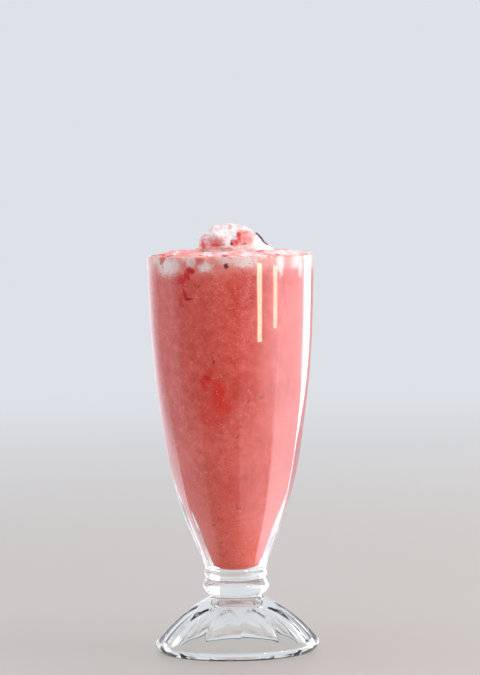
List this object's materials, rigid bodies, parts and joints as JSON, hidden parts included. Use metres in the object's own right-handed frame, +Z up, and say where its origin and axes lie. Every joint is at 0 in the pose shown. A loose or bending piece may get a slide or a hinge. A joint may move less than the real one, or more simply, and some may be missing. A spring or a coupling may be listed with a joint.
{
  "type": "strawberry smoothie in a footed soda glass",
  "caption": "Thick strawberry smoothie in a tall footed soda glass with a panelled hollow foot, topped with marbled froth, a scoop of ice cream and a dark curl of leaf.",
  "frame": {"origin": "middle of the foot's underside, on the table", "axes": "+Z up along the glass's axis, -Y towards the picture's camera, +X to the picture's right"},
  "size_m": [0.0834, 0.0834, 0.2154],
  "materials": {
    "glass": "clear pressed glass, smooth and glossy",
    "smoothie": "thick blended drink with fine bubbles and seeds, wet against the wall",
    "froth": "pale froth marbled with pink and red, soft and slightly wet",
    "ice_cream": "ivory ice cream streaked with strawberry syrup, slightly wet",
    "leaf": "thin dark leaf, satin"
  },
  "bodies": {
    "root": {"glass": "glass", "smoothie": "smoothie", "froth": "froth", "scoop": "ice_cream", "leaf": "leaf"}
  },
  "joints": []
}
